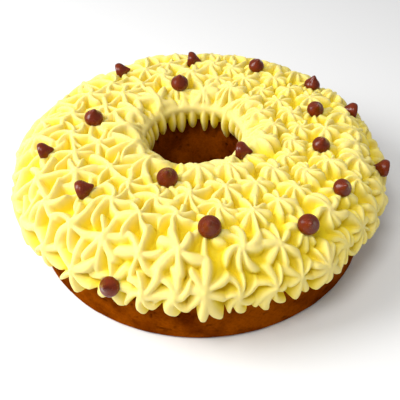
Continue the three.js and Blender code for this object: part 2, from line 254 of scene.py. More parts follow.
def apply_modifiers(piece: Piece) -> None:
    """Gives a piece that is in no collection the mesh that its modifiers make.

    Args:
        piece: The piece, whose modifiers are then removed.
    """
    scene = bpy.context.scene
    scene.collection.objects.link(piece)
    graph = bpy.context.evaluated_depsgraph_get()
    mesh = bpy.data.meshes.new_from_object(piece.evaluated_get(graph), depsgraph=graph)
    piece.modifiers.clear()
    piece.data = mesh
    scene.collection.objects.unlink(piece)


def combine(base: Piece, others: list[Piece], how: Join) -> None:
    """Fuses solids onto a base, or cuts them out of it, in one step.

    Args:
        base: The solid to change.
        others: The solids to add or cut, which are removed afterwards.
        how: Fuse or cut.
    """
    group = bpy.data.collections.new("operands")
    bpy.context.scene.collection.children.link(group)
    for other in others:
        group.objects.link(other)
    step = base.modifiers.new("combine", "BOOLEAN")
    step.operation = how.value
    step.operand_type = "COLLECTION"
    step.collection = group
    step.solver = "MANIFOLD"
    apply_modifiers(base)
    for other in others:
        bpy.data.meshes.remove(other.data)
    bpy.data.collections.remove(group)


def triangle_count(mesh: Mesh) -> int:
    """How many triangles a mesh has."""
    mesh.calc_loop_triangles()
    return len(mesh.loop_triangles)


def shade(mesh: Mesh, crease_deg: float) -> None:
    """Shades a mesh smoothly, apart from edges sharper than the given angle."""
    mesh.shade_smooth()
    mesh.set_sharp_from_angle(angle=math.radians(crease_deg))


def present(piece: Piece, node: str, material: Material) -> None:
    """Puts a finished piece into the scene in place of its solid.

    Args:
        piece: The new piece.
        node: The solid that it stands for.
        material: The piece's finish.
    """
    bpy.context.scene.collection.objects.link(piece)
    piece.data.materials.clear()
    piece.data.materials.append(material)
    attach(piece, BODY)
    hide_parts(node)
    log.info("%s stands for %s with %d triangles", piece.name, node, triangle_count(piece.data))


class Shading:
    """The nodes of a new material or surround, and short ways to add those that they are made of."""

    NOISE_LOW = 0.3
    NOISE_HIGH = 0.7

    def __init__(self, owner: Material | bpy.types.World) -> None:
        """Turns the nodes on.

        Args:
            owner: The new material or surround.
        """
        owner.use_nodes = True
        self.owner = owner
        self.tree = owner.node_tree

    @staticmethod
    def material(name: str) -> "Shading":
        """Starts a material with a plain shader."""
        return Shading(bpy.data.materials.new(name))

    def feed(self, node: bpy.types.Node, inputs: dict[str, Feed]) -> None:
        """Sets inputs of a node, or links those that get another node's output.

        Args:
            node: The node.
            inputs: A number, a colour or an output for each input's name.
        """
        for name, value in inputs.items():
            if isinstance(value, Socket):
                self.tree.links.new(value, node.inputs[name])
            else:
                node.inputs[name].default_value = value

    def add(self, kind: str, output: str, inputs: dict[str, Feed], **settings: str) -> Socket:
        """Adds a node.

        Args:
            kind: Blender's name for such a node, without its ShaderNode.
            output: Which of its outputs is wanted.
            inputs: What goes into it.
            settings: The node's own settings.

        Returns:
            The output.
        """
        node = self.tree.nodes.new(f"ShaderNode{kind}")
        for name, value in settings.items():
            setattr(node, name, value)
        self.feed(node, inputs)
        return node.outputs[output]

    def noise(self, scale: float, detail: float = 3.0) -> Socket:
        """Noise about 0.5 over the piece's own coordinates, by its waves in a metre and its finer layers."""
        place = self.add("TexCoord", "Object", {})
        return self.add("TexNoise", "Fac", {"Vector": place, "Scale": scale, "Detail": detail})

    def span(self, value: Socket, low: float, high: float) -> Socket:
        """A noise value stretched to run from low to high."""
        source = {"Value": value, "From Min": self.NOISE_LOW, "From Max": self.NOISE_HIGH}
        return self.add("MapRange", "Result", {**source, "To Min": low, "To Max": high})

    def stored(self, name: str) -> Socket:
        """A number stored at the piece's points, by its name."""
        return self.add("Attribute", "Fac", {}, attribute_name=name)

    def darken(self, colour: Socket, by: Socket, share: float) -> Socket:
        """A colour multiplied by another, and how much of the product is taken."""
        inputs = {"Factor": share, "A": colour, "B": by}
        return self.add("Mix", "Result", inputs, data_type="RGBA", blend_type="MULTIPLY")

    def bump(self, height: Socket, depth: float) -> Socket:
        """A fine relief, its depth in millimetres."""
        return self.add("Bump", "Normal", {"Distance": depth * MM, "Height": height})

    def ramp(self, value: Socket, *stops: tuple[float, Colour]) -> Socket:
        """Colours along a value.

        Args:
            value: What runs along the colours.
            stops: A place and a colour for each stop.

        Returns:
            The colour.
        """
        node = self.tree.nodes.new("ShaderNodeValToRGB")
        marks = node.color_ramp.elements
        while len(marks) < len(stops):
            marks.new(0.5)
        for mark, (place, colour) in zip(marks, stops):
            mark.position = place
            mark.color = (*colour, 1.0)
        self.feed(node, {"Fac": value})
        return node.outputs["Color"]

    def finish(self, inputs: dict[str, Feed], shader: str = "Principled BSDF") -> Material | bpy.types.World:
        """Feeds the shader and hands out what the nodes belong to."""
        self.feed(self.tree.nodes[shader], inputs)
        return self.owner


@dataclass(frozen=True)
class CreamFinish:
    """Yellow beaten cream, soft to light, with painted light: pale where its crests are lit, and painted
    shade deeper in its grooves.
    """

    # Painted light and shade: crest is a lit copy of the cream's colour, groove a shaded copy, slope between
    # the two.
    crest: Colour = (0.85, 0.71, 0.24)
    painted_light_from: float = 0.92
    slope: Colour = (0.855, 0.70, 0.06)
    slope_at: float = 0.5
    groove_painted_shade: Colour = (0.85, 0.655, 0.003)
    scatter: float = 0.5
    scatter_colour: Colour = (1.0, 0.95, 0.3)
    scatter_depth: float = 3.0
    gloss: float = 0.12
    roughness: tuple[float, float] = (0.42, 0.58)
    relief: float = 0.05

    def material(self) -> Material:
        """Painted shade in the grooves runs to painted light on the crests by the stored painted light value,
        over soft scattering.

        Returns:
            The material.
        """
        paint = Shading.material("yellow_cream")
        stops = ((0.0, self.groove_painted_shade), (self.slope_at, self.slope), (self.painted_light_from, self.crest))
        return paint.finish(
            {
                # Painted light and shade, read from the value stored at the points.
                "Base Color": paint.ramp(paint.stored(Frosting.PAINTED_LIGHT), *stops),
                "Subsurface Weight": self.scatter,
                "Subsurface Radius": self.scatter_colour,
                "Subsurface Scale": self.scatter_depth * MM,
                "Specular IOR Level": self.gloss,
                "Roughness": paint.span(paint.noise(220.0), *self.roughness),
                "Normal": paint.bump(paint.noise(900.0, 2.0), self.relief),
            }
        )


@dataclass(frozen=True)
class CrustFinish:
    """Browned crust: orange brown with darker baked patches, and painted shade darkening its small pits."""

    light: Colour = (0.28, 0.058, 0.0008)
    dark: Colour = (0.12, 0.018, 0.0002)
    plain: Colour = (1.0, 1.0, 1.0)
    speck: Colour = (0.62, 0.62, 0.62)
    speck_share: float = 0.6
    # Painted shade in the pits: this colour darkens the crust where it is pressed in.
    pit_painted_shade: Colour = (0.25, 0.2, 0.2)
    gloss: float = 0.0
    roughness: tuple[float, float] = (0.45, 0.7)
    relief: float = 0.12

    def material(self) -> Material:
        """Patches of two browns by broad noise, specks by fine noise, and painted shade in the pits by the
        stored pit value.

        Returns:
            The material.
        """
        paint = Shading.material("baked_crust")
        broad = paint.span(paint.noise(55.0, 4.0), 0.0, 1.0)
        patches = paint.ramp(broad, (0.15, self.dark), (0.75, self.light))
        specks = paint.ramp(paint.noise(700.0), (0.35, self.speck), (0.6, self.plain))
        # Painted shade in the pits, by the stored pit value.
        pit_shade = paint.ramp(paint.stored(BakedRing.PIT), (0.0, self.plain), (1.0, self.pit_painted_shade))
        return paint.finish(
            {
                "Base Color": paint.darken(paint.darken(patches, specks, self.speck_share), pit_shade, 1.0),
                "Specular IOR Level": self.gloss,
                "Roughness": paint.span(paint.noise(120.0), *self.roughness),
                "Normal": paint.bump(paint.noise(650.0, 5.0), self.relief),
            }
        )


@dataclass(frozen=True)
class ChocolateFinish:
    """Milk chocolate with a soft satin shine."""

    light: Colour = (0.165, 0.020, 0.002)
    dark: Colour = (0.12, 0.013, 0.001)
    scatter: float = 0.08
    scatter_depth: float = 1.0
    gloss: float = 0.32
    roughness: tuple[float, float] = (0.2, 0.3)
    relief: float = 0.06

    def material(self) -> Material:
        """Two near browns by broad noise, with an uneven shine.

        Returns:
            The material.
        """
        paint = Shading.material("milk_chocolate")
        broad = paint.span(paint.noise(180.0, 2.0), 0.0, 1.0)
        return paint.finish(
            {
                "Base Color": paint.ramp(broad, (0.2, self.dark), (0.8, self.light)),
                "Subsurface Weight": self.scatter,
                "Subsurface Scale": self.scatter_depth * MM,
                "Specular IOR Level": self.gloss,
                "Roughness": paint.span(paint.noise(400.0), *self.roughness),
                "Normal": paint.bump(paint.noise(500.0, 2.0), self.relief),
            }
        )


@dataclass(frozen=True)
class Skin:
    """The baked ring's skin, as a walk over it, and the rule that puts points on it."""

    radius: float = 108.0
    height: float = 59.0
    shoulder: float = 24.0
    hole_radius: float = 38.0
    hole_shoulder: float = 10.0
    hole_shift: tuple[float, float] = (-3.5, 4.0)

    @property
    def shoulder_arc(self) -> float:
        """The walk's length up the outer shoulder."""
        return self.shoulder * QUARTER

    @property
    def top_width(self) -> float:
        """The walk's length across the flat top."""
        return self.radius - self.shoulder - self.hole_radius - self.hole_shoulder

    @property
    def hole_start(self) -> float:
        """Where the walk turns down into the hole."""
        return self.shoulder_arc + self.top_width

    @property
    def hole_arc(self) -> float:
        """The walk's length round the hole's edge."""
        return self.hole_shoulder * QUARTER

    @property
    def flat_radius(self) -> float:
        """The radius of the rolled-out skin's outer edge, where the path is 0."""
        return self.radius - self.shoulder + self.shoulder_arc

    def at(self, path: Array) -> tuple[Array, Array, Array, Array]:
        """The skin after a walk: wall, quarter turn, flat top, quarter turn and the hole's wall.

        Args:
            path: Distances along the walk, below 0 on the outer wall.

        Returns:
            Radius and height there, and the outward normal's radial and upward parts.
        """
        path = np.asarray(path, float)
        outer = np.clip(path / self.shoulder, 0, QUARTER)
        inner = np.clip((path - self.hole_start) / self.hole_shoulder, 0, QUARTER)
        across = np.clip(path - self.shoulder_arc, 0, self.top_width)
        rise = np.minimum(path, 0) - np.maximum(path - self.hole_start - self.hole_arc, 0)
        r = self.radius - self.shoulder * (1 - np.cos(outer)) - across - self.hole_shoulder * np.sin(inner)
        z = self.height - self.shoulder * (1 - np.sin(outer)) - self.hole_shoulder * (1 - np.cos(inner))
        return r, z + rise, np.cos(outer) - np.sin(inner), np.sin(outer) * np.cos(inner)

    def middle(self, radius: Array) -> Array:
        """The middle of a circle of the ring, which slides towards the off-centre hole as it gets smaller."""
        share = np.clip((self.radius - radius) / (self.radius - self.hole_radius), 0, 1)
        return share[..., None] * np.array(self.hole_shift)

    def turned(self, radius: Array, bearing: Array, reach: Array, height: Array) -> Array:
        """Points round the middle of a circle of the ring.

        Args:
            radius: The circle's radius.
            bearing: Bearings in radians.
            reach: Distances from the circle's middle.
            height: Heights.

        Returns:
            Points in millimetres, in the last axis.
        """
        middle = self.middle(radius)
        x = middle[..., 0] + reach * np.sin(bearing)
        y = middle[..., 1] - reach * np.cos(bearing)
        return np.stack(np.broadcast_arrays(x, y, height), axis=-1)

    def place(self, bearing: Array, path: Array, height: Array) -> Array:
        """Points off the skin: out along the normal by a height, round the slid middle by a bearing."""
        r, z, nr, nz = self.at(path)
        return self.turned(r, bearing, r + height * nr, z + height * nz)

    def flat(self, bearing: Array, path: Array) -> Array:
        """The skin rolled out flat: a point of the plane for a bearing and a path."""
        radius = self.flat_radius - np.asarray(path, float)
        return np.stack([radius * np.sin(bearing), -radius * np.cos(bearing)], axis=-1)


@dataclass(frozen=True)
class DropPlaces:
    """Where each chocolate drop lies and how large it is.

    A row holds a bearing, a path, a tilt off the vertical and the tip's bearing, with angles in
    degrees, then how high the drop's middle is off the skin, and its size against the even drop.
    """

    middle: float = 3.5
    rows: tuple[tuple[float, float, float, float, float, float], ...] = (
        (-79, 30.5, 80, 100, 9.5, 0.86),
        (-48.5, 37, 75, 100, 9.5, 0.95),
        (-99, 57, 15, 35, 11.5, 1),
        (-143.5, 34, 82, 97, 9, 0.95),
        (-168.5, 73, 18, 0, 12, 0.98),
        (-178, 36, 98, 85, 8, 0.95),
        (150, 37.5, 22, 20, 10.5, 0.9),
        (124, 30, 8, 90, 9, 0.9),
        (103.5, 43.5, 35, 5, 9.5, 0.89),
        (107, 20, 82, -95, 8, 0.95),
        (75.5, 45, 22, 20, 9.5, 0.9),
        (51, 79.5, 88, 75, 10.5, 0.93),
        (-17.5, 69.5, 25, 0, 10.5, 1.02),
        (55.5, 28, 40, 20, 9.5, 0.88),
        (78.5, 13.5, 85, -100, 10.5, 0.9),
        (34.5, 25.5, 42, 0, 10.5, 0.97),
        (3.5, 34.5, 36, -5, 11, 1.04),
        (-24.5, 7.5, 50, -22, 10, 0.92),
        (-153, 5, 75, -170, 9, 0.95),
        (147, 5, 80, -160, 9, 0.95),
    )

    def table(self) -> Array:
        """All rows as one array."""
        return np.array(self.rows, float)

    def on_skin(self) -> tuple[Array, Array]:
        """Bearings in radians and paths of all drops."""
        return np.radians(self.table()[:, 0]), self.table()[:, 1]

    def axes(self) -> Array:
        """Directions from each drop's base to its tip: up, tilted towards the tip's bearing."""
        tilt, tip = np.radians(self.table()[:, 2:4]).T
        return np.stack([np.sin(tilt) * np.sin(tip), -np.sin(tilt) * np.cos(tip), np.cos(tilt)], axis=-1)

    def sizes(self) -> Array:
        """Each drop's size against the even drop."""
        return self.table()[:, 5]

    def bases(self, skin: Skin) -> Array:
        """Middles of the drops' bases: back along the axis from the drop's own middle."""
        middle = skin.place(*self.on_skin(), self.table()[:, 4])
        return middle - self.middle * self.sizes()[:, None] * self.axes()


@dataclass
class Stars:
    """All piped stars, one entry of each array a star."""

    bearing: Array
    path: Array
    ridges: Array
    radius: Array
    height: Array
    twist: Array
    facing: Array


@dataclass(frozen=True)
class Piping:
    """How the stars are set out over the skin, closer and with more ridges on the right than on the left."""

    skin: Skin
    first_row: float = 10.0
    last_row: float = 75.0
    rows: int = 5
    row_wander: float = 2.5
    spacing: float = 18.0
    crowding: float = 0.18
    settle_spacing: float = 19.5
    settle_passes: int = 30
    settle_push: float = 0.15
    radius: float = 14.5
    height: float = 10.5
    hole_row_share: float = 0.85
    hole_row_rise: float = 1.2
    seat_height: float = 8.5
    twist: float = math.radians(24)
    step_uneven: float = 0.2
    radius_uneven: float = 0.1
    height_uneven: float = 0.12
    twist_uneven: float = 1.2
    fewest_ridges: int = 6
    most_ridges: int = 8

    def pipe(self, drops: DropPlaces) -> Stars:
        """Sets out all stars in rows, seats one under each drop and lets the others settle.

        A row has as many stars as fit its girth at half a star's height.

        Args:
            drops: Where the chocolate drops lie.

        Returns:
            The stars.
        """
        paths = np.linspace(self.first_row, self.last_row, self.rows)
        r, _, nr, _ = self.skin.at(paths)
        counts = np.round(CIRCLE * (r + self.height / 2 * nr) / self.spacing).astype(int)
        row = np.repeat(np.arange(self.rows), counts)
        number = np.arange(len(row))
        in_row = number - np.repeat(np.cumsum(counts) - counts, counts)
        step = in_row + (row % 2) / 2 + swing(number, Salt.STEP, self.step_uneven)
        even = step / counts[row] * CIRCLE
        at_hole = row == self.rows - 1
        choices = self.most_ridges - self.fewest_ridges + np.sin(even)
        radius = self.radius * np.where(at_hole, self.hole_row_share, 1)
        height = self.height * np.where(at_hole, self.hole_row_rise, 1)
        stars = Stars(
            bearing=even + self.crowding * np.cos(even),
            path=paths[row] + swing(number, Salt.PATH, self.row_wander),
            ridges=self.fewest_ridges + np.floor(chance(number, Salt.RIDGES) * choices).astype(int),
            radius=radius * (1 + swing(number, Salt.RADIUS, self.radius_uneven)),
            height=height * (1 + swing(number, Salt.HEIGHT, self.height_uneven)),
            twist=self.twist * (1 + swing(number, Salt.TWIST, self.twist_uneven)),
            facing=chance(number, Salt.FACING) * CIRCLE,
        )
        self.settle(stars, drops)
        return stars

    def settle(self, stars: Stars, drops: DropPlaces) -> None:
        """Moves the nearest star under each drop and presses it down, then pushes the others apart.

        Each pass moves a star away from every star nearer than the settling distance, by a share of what
        is missing.

        Args:
            stars: The stars, whose bearings, paths and heights change.
            drops: Where the chocolate drops lie.
        """
        middle = self.skin.flat(stars.bearing, stars.path)
        seated = np.zeros(len(middle), bool)
        for spot in self.skin.flat(*drops.on_skin()):
            nearest = np.argmin(np.linalg.norm(middle - spot, axis=1))
            middle[nearest] = spot
            seated[nearest] = True
            stars.height[nearest] = self.seat_height
        least = self.skin.flat_radius - self.last_row - self.row_wander
        most = self.skin.flat_radius - self.first_row + self.row_wander
        for _ in range(self.settle_passes):
            away = middle[:, None] - middle[None]
            distance = np.linalg.norm(away, axis=-1)
            to_right = self.crowding * middle[:, 0] / np.linalg.norm(middle, axis=1)
            room = self.settle_spacing * (1 - to_right)
            near = np.maximum(room[:, None] - distance, 0)
            np.fill_diagonal(near, 0)
            unit = away / np.maximum(distance, TINY)[..., None]
            moved = middle + self.settle_push * (near[..., None] * unit).sum(axis=1)
            length = np.linalg.norm(moved, axis=1)
            moved *= (np.clip(length, least, most) / length)[:, None]
            middle = np.where(seated[:, None], middle, moved)
        stars.bearing = np.arctan2(middle[:, 0], -middle[:, 1])
        stars.path = self.skin.flat_radius - np.linalg.norm(middle, axis=1)


@dataclass
class BakedRing:
    """The baked ring: an uncut solid turned about its slid middle, with a lightly uneven, pored crust."""

    skin: Skin
    foot_radius: float = 107.0
    foot_round: float = 3.0
    foot_steps: int = 5
    hole_foot_radius: float = 35.0
    columns: int = 560
    wall_step: float = 0.8
    plain_step: float = 4.0
    fine_to: float = 8.0
    fine_at_hole: float = 16.0
    base_steps: int = 14
    uneven: float = 0.35
    broad_grain: float = 17.0
    narrow_grain: float = 6.0
    pit_grain: float = 2.6
    pit_from: float = 0.5
    pit_depth: float = 0.5
    crease: float = 60.0

    PIT = "pit"

    def profile(self, swell: float) -> Array:
        """The ring's section, once round: foot, outer wall, skin, hole's wall and base.

        Each foot is a quarter circle, and the walls lean from the foot out to where the skin starts. Under
        the cream the steps are longer.

        Args:
            swell: How far the section is swollen outwards.

        Returns:
            Radius and height of each point, upwards on the outside.
        """
        skin, bend = self.skin, self.foot_round
        turn = np.linspace(0, QUARTER, self.foot_steps)
        foot_r = self.foot_radius - bend + bend * np.sin(turn) + swell * np.sin(turn)
        foot_z = bend - bend * np.cos(turn) - swell * np.cos(turn)
        shoulder_z = skin.height - skin.shoulder
        rise = np.arange(bend + self.wall_step, shoulder_z, self.wall_step)
        lean = (rise - bend) / (shoulder_z - bend)
        wall_r = self.foot_radius + (skin.radius - self.foot_radius) * lean + swell
        end = skin.hole_start + skin.hole_arc
        outer = np.arange(0, self.fine_to, self.wall_step)
        covered = np.arange(self.fine_to, end - self.fine_at_hole, self.plain_step)
        inner = np.arange(end - self.fine_at_hole, end, self.wall_step)
        r, z, nr, nz = skin.at(np.concatenate([outer, covered, inner]))
        hole_top = skin.height - skin.hole_shoulder
        fall = np.arange(hole_top, bend, -self.wall_step)
        lean_in = (fall - bend) / (hole_top - bend)
        hole_r = self.hole_foot_radius + (skin.hole_radius - self.hole_foot_radius) * lean_in - swell
        hole_foot_r = self.hole_foot_radius + bend - (bend + swell) * np.cos(turn)
        hole_foot_z = bend - (bend + swell) * np.sin(turn)
        base_r = np.linspace(hole_foot_r[-1], foot_r[0], self.base_steps)[1:-1]
        base_z = np.full(base_r.shape, -swell)
        radius = np.concatenate([foot_r, wall_r, r + swell * nr, hole_r, hole_foot_r, base_r])
        height = np.concatenate([foot_z, rise, z + swell * nz, fall, hole_foot_z, base_z])
        return np.stack([radius, height], axis=-1)

    def turn(self, section: Array, columns: int) -> Array:
        """Turns a section about the ring's middle, which slides towards the hole, by section and column."""
        radius, height = section[:, None, 0], section[:, None, 1]
        return self.skin.turned(radius, around(columns), radius, height)

    def cutter(self, swell: float, columns: int) -> Piece:
        """The plain ring, swollen, to cut its room out of the cream, with so many points going round."""
        section = self.profile(swell)
        return solid("ring_cutter", self.turn(section, columns), ring_faces(len(section), columns))

    def build(self) -> Piece:
        """The crust: broad unevenness and small pits, pressed in along the radius and clear of the base.

        Returns:
            The ring, with the pits' depth stored at its points.
        """
        skin, section = self.skin, self.profile(0.0)
        plain = self.turn(section, self.columns)
        radius = section[:, None, 0]
        rising = np.clip(plain[..., 2] / self.foot_round, 0, 1)
        broad = soft_noise(plain, self.broad_grain, Pattern.CRUST_BROAD)
        broad = broad + 0.5 * soft_noise(plain, self.narrow_grain, Pattern.CRUST_NARROW)
        spots = soft_noise(plain, self.pit_grain, Pattern.CRUST_PITS)
        pit = np.clip((spots - self.pit_from) / (1 - self.pit_from), 0, 1)
        outward = np.where(radius > (skin.radius + skin.hole_radius) / 2, 1.0, -1.0)
        flat = plain[..., :2] - skin.middle(np.broadcast_to(radius, plain.shape[:2]))
        unit = flat / np.linalg.norm(flat, axis=-1, keepdims=True)
        press = rising * (self.uneven * (broad - 1.0) - self.pit_depth * pit)
        points = plain.copy()
        points[..., :2] += unit * (outward * press)[..., None]
        faces = ring_faces(len(section), self.columns)
        # The pits' depth is stored for the finish's painted shade in the pits.
        piece = solid("baked_ring", points, faces, {self.PIT: pit * rising})
        shade(piece.data, self.crease)
        return piece


@dataclass(frozen=True)
class RidgeStyle:
    """How a star's ridges look.

    Attributes:
        inside: Half width at the star's middle.
        outside: Half width further out.
        power: How steep the walls are.
        fall: Share of the height that a crest loses towards its end.
        dip: Share that it loses at the star's middle.
        overlap: How far a ridge runs over the line half way to the next star.
        free_width: How much wider a free end is.
        point: How pointed the ends are.
        extra: Ridges more than in the solid's star.
        fill: How far the width follows the room between the ridges.
    """

    inside: float
    outside: float
    power: float
    fall: float
    dip: float
    overlap: float
    free_width: float
    point: float
    extra: float
    fill: float

    def mixed(self, other: "RidgeStyle", share: float) -> "RidgeStyle":
        """A style between this one and another, by the other's share from 0 to 1."""
        pairs = zip(astuple(self), astuple(other))
        return RidgeStyle(*(one + (two - one) * share for one, two in pairs))


@dataclass(frozen=True)
class Ridges:
    """One star's ridges, one entry of each array a ridge.

    They share a style and a twist over one length. Each has the direction in which it starts, its length,
    its width against the style's, and the share by which its end is lifted.
    """

    style: RidgeStyle
    twist: float
    angle: Array
    length: Array
    width: Array
    lift: Array


@dataclass(frozen=True)
class StarShape:
    """One piped star's form: ridges that run out from its middle like round-topped walls."""

    joined: RidgeStyle = RidgeStyle(
        inside=2.3, outside=2.6, power=4.0, fall=0.15, dip=0.0,
        overlap=5.0, free_width=1.7, point=0.5, extra=0.0, fill=0.0,
    )
    plump: RidgeStyle = RidgeStyle(
        inside=0.6, outside=3.2, power=4.5, fall=0.3, dip=0.2,
        overlap=1.0, free_width=1.1, point=1.0, extra=1.0, fill=1.0,
    )
    plump_in_front: float = 0.55
    end_round: float = 3.0
    end_closing: float = 5.0
    end_share: float = 0.999
    usual_room: float = 3.8
    shortest: float = 0.65
    longest: float = 1.35
    stretch_uneven: float = 0.08
    height_uneven: float = 0.16
    turn_uneven: float = 0.2
    width_uneven: float = 0.25
    root: float = 1.5

    def style(self, bearing: float) -> RidgeStyle:
        """The ridges at a bearing: joined like a web on the left, plump and apart on the right."""
        share = self.plump_in_front + self.plump_in_front * math.sin(bearing)
        return self.joined.mixed(self.plump, min(1.0, share))

    def walls(self, offset: Array, ridges: Ridges) -> tuple[Array, Array]:
        """Every ridge's wall at points round a star.

        A ridge's middle line turns with the way out. Aside from it the wall falls off by a power of the
        distance, 1 on the line and a half at the half width, which closes towards the ridge's round end.

        Args:
            offset: Points from the star's middle, in the rolled-out plane.
            ridges: The star's ridges.

        Returns:
            Shares of the crest's height by point and ridge, and how far out along each ridge.
        """
        style, length = ridges.style, ridges.length
        reach = np.linalg.norm(offset, axis=-1)[:, None]
        out = reach / length
        bearing = np.arctan2(offset[:, 1], offset[:, 0])[:, None]
        turn = np.abs((bearing - ridges.angle - ridges.twist * out + math.pi) % CIRCLE - math.pi)
        aside = reach * np.sin(np.minimum(turn, QUARTER))
        inner = np.clip(out, 0, 1)
        room = math.pi * length / len(length)
        outside = style.outside * (1 + style.fill * (room / self.usual_room - 1))
        half = ridges.width * (style.inside + (outside - style.inside) * inner)
        half = half * (1 - self.end_share * inner**self.end_closing) ** style.point
        past = np.clip((reach - length + self.end_round) / self.end_round, 0, 1)
        ahead = turn < QUARTER
        wall = np.where(ahead | (reach < half), 1 / (1 + (aside / half) ** style.power), 0.0)
        return wall * np.sqrt(1 - past**2), inner


@dataclass(frozen=True)
class HolePetals:
    """Long petals that hang into the hole from under its rim, those on the left further off its wall."""

    count: int = 28
    root: float = 80.0
    tip: float = 97.0
    rise: float = 10.8
    front: float = 1.0
    tip_rise: float = 5.0
    lean: float = 2.0
    half_width: float = 3.0
    half_depth: float = 4.5
    keel: float = 0.3
    bluntness: float = 0.7
    uneven: float = 0.2
    width_uneven: float = 0.25
    rows: int = 16
    columns: int = 16

    def points(self, skin: Skin) -> tuple[Array, Array]:
        """Fingers over the hole's edge, by petal, row and column.

        Down a finger its crest falls from root to tip with the square of the way, and both its half width
        and its half depth close to the tip as a quarter of a round curve. Its section is an oval, narrower
        at the crest.

        Args:
            skin: The skin that the petals hang on.

        Returns:
            Points with the two ends of each finger after its rows, and how near each is to a crest, which
            sets its painted light.
        """
        petal = np.arange(self.count)
        step = petal + swing(petal, Salt.PETAL_STEP, self.uneven)
        length = 1 + swing(petal, Salt.PETAL_LENGTH, self.uneven)
        width = self.half_width * (1 + swing(petal, Salt.PETAL_WIDTH, self.width_uneven))
        bearing = (step / self.count * CIRCLE)[:, None, None]
        down = np.sin(np.linspace(0, QUARTER, self.rows + 1)[:-1])[None, :, None]
        turn = around(self.columns)[None, None]
        path = self.root + (self.tip - self.root) * down * length[:, None, None]
        tip_rise = self.tip_rise - self.lean * np.sin(bearing)
        root_rise = self.rise + self.front * np.cos(bearing)
        crest = root_rise + (tip_rise - root_rise) * down**2
        close = np.sqrt(1 - down**2)
        across = width[:, None, None] * close**self.bluntness * np.sin(turn) * (1 - self.keel * np.cos(turn))
        rise = crest - self.half_depth * close * (1 - np.cos(turn))
        r, _, nr, _ = skin.at(path)
        body = skin.place(bearing + across / (r + rise * nr), path, rise)
        near = np.broadcast_to(np.clip(np.cos(turn), 0, 1) ** 2, rise.shape)
        spot = bearing[:, 0, 0]
        end = skin.place(spot, self.root + (self.tip - self.root) * length, tip_rise[:, 0, 0])
        start = skin.place(spot, np.full(self.count, self.root - 1), root_rise[:, 0, 0] - self.half_depth)
        points = np.concatenate([body.reshape(self.count, -1, 3), start[:, None], end[:, None]], axis=1)
        ends = np.tile([0.0, 1.0], (self.count, 1))
        return points, np.concatenate([near.reshape(self.count, -1), ends], axis=1)


